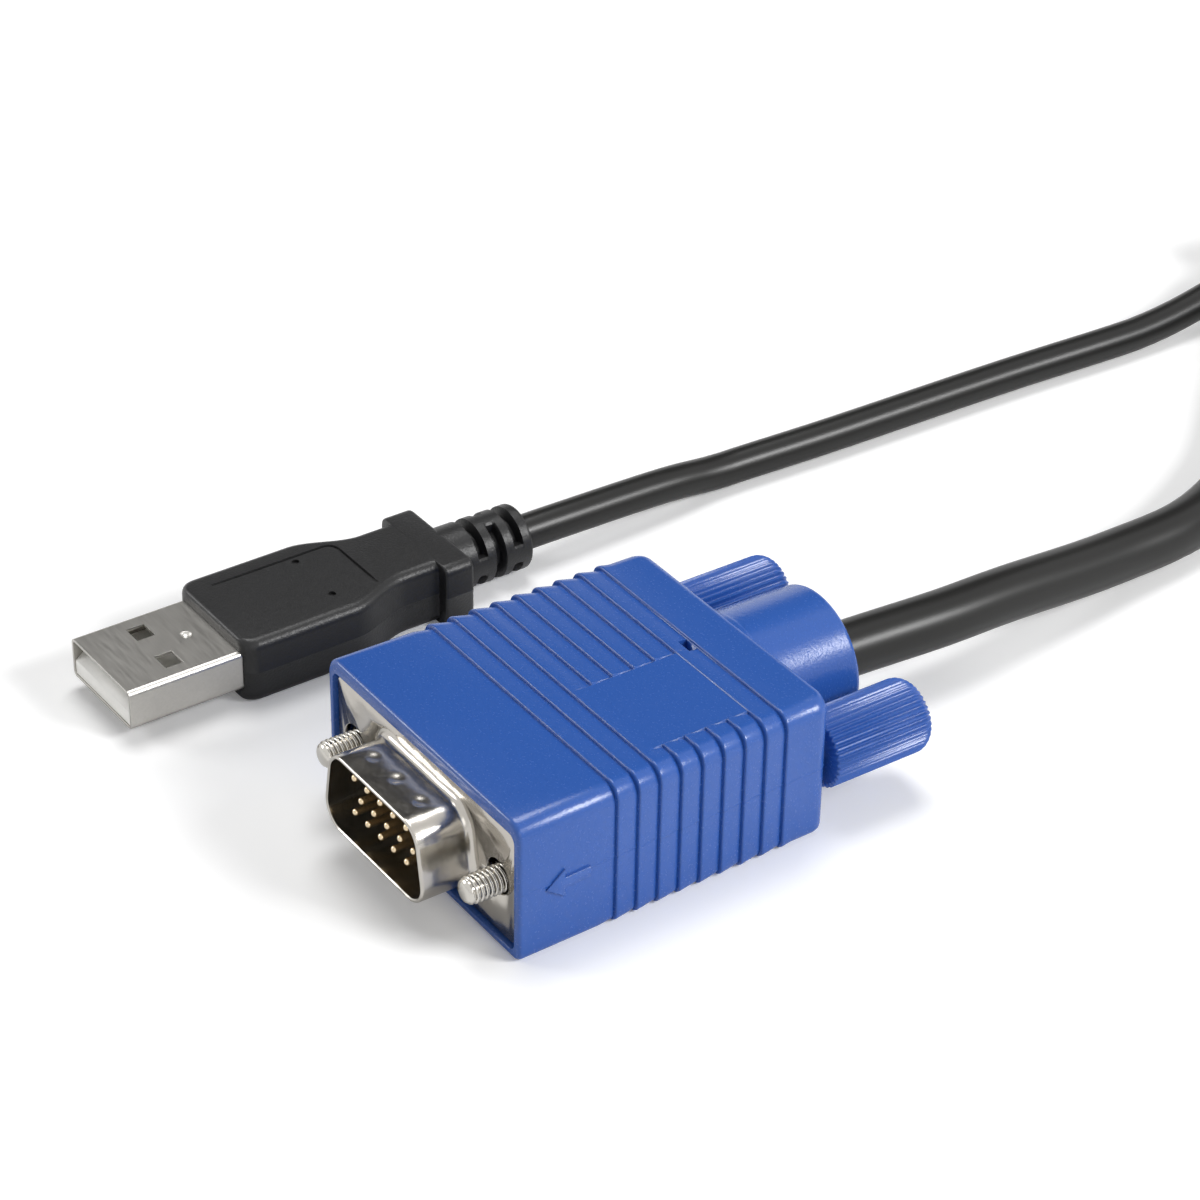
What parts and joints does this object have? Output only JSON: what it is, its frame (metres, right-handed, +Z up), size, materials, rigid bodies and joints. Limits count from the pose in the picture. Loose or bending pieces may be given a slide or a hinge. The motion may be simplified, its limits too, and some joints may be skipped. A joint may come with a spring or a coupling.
{
  "type": "kvm console cable",
  "caption": "Console cable whose screw-locked video plug and USB-A plug run on separate leads into a yoke and a coiled trunk cord that ends in a matching video plug",
  "frame": {"origin": "bottom centre of the box round the two console plugs, on the surface they lie on", "axes": "+Z up; the plugs mate towards -Y, the cords leave towards +Y, the USB plug lies on the -X side"},
  "size_m": [0.0905, 0.2587, 0.0337],
  "materials": {
    "blue_plastic": "fine orange-peel moulding, satin gloss",
    "black_plastic": "fine matt moulding",
    "cord_jacket": "smooth satin jacket",
    "white_plastic": "smooth",
    "nickel_plate": "nickel plated, faint drawing marks",
    "steel": "nickel plated screw",
    "gold_plate": "gold plated",
    "strap": "woven strap"
  },
  "bodies": {
    "cable": {"vga_hood": "blue_plastic", "vga_front_shell": "nickel_plate", "vga_rear_shell": "nickel_plate", "vga_insulator": "black_plastic", "usb_shell": "nickel_plate", "usb_tongue": "white_plastic", "usb_overmould": "black_plastic", "usb_lead": "cord_jacket", "vga_lead": "cord_jacket", "yoke": "black_plastic", "trunk_lead": "cord_jacket", "trunk_coil": "cord_jacket", "trunk_tail": "cord_jacket", "coil_tie_1": "strap", "coil_tie_2": "strap", "far_hood": "blue_plastic", "far_front_shell": "nickel_plate", "far_insulator": "black_plastic", "vga_pin_01": "gold_plate", "vga_pin_02": "gold_plate", "vga_pin_03": "gold_plate", "vga_pin_04": "gold_plate", "vga_pin_05": "gold_plate", "vga_pin_06": "gold_plate", "vga_pin_07": "gold_plate", "vga_pin_08": "gold_plate", "vga_pin_09": "gold_plate", "vga_pin_10": "gold_plate", "vga_pin_11": "gold_plate", "vga_pin_12": "gold_plate", "vga_pin_13": "gold_plate", "vga_pin_14": "gold_plate", "vga_pin_15": "gold_plate", "usb_contact_1": "gold_plate", "usb_contact_2": "gold_plate", "usb_contact_3": "gold_plate", "usb_contact_4": "gold_plate"},
    "left_thumbscrew": {"left_screw": "steel", "left_knob": "blue_plastic"},
    "right_thumbscrew": {"right_screw": "steel", "right_knob": "blue_plastic"},
    "far_left_screw": {"far_left_thumbscrew": "blue_plastic"},
    "far_right_screw": {"far_right_thumbscrew": "blue_plastic"}
  },
  "joints": [
    {"name": "left_thumbscrew_turn", "type": "hinge", "parent": "cable", "child": "left_thumbscrew", "pos_m": [0.00259, 0.02121, 0.0071], "axis": [0, 1, 0], "continuous": true},
    {"name": "right_thumbscrew_turn", "type": "hinge", "parent": "cable", "child": "right_thumbscrew", "pos_m": [0.02758, 0.02121, 0.0071], "axis": [0, 1, 0], "continuous": true},
    {"name": "far_left_screw_turn", "type": "hinge", "parent": "cable", "child": "far_left_screw", "pos_m": [0.02859, 0.18401, 0.02529], "axis": [0, 1, 0], "continuous": true},
    {"name": "far_right_screw_turn", "type": "hinge", "parent": "cable", "child": "far_right_screw", "pos_m": [0.05358, 0.18401, 0.02529], "axis": [0, 1, 0], "continuous": true}
  ]
}
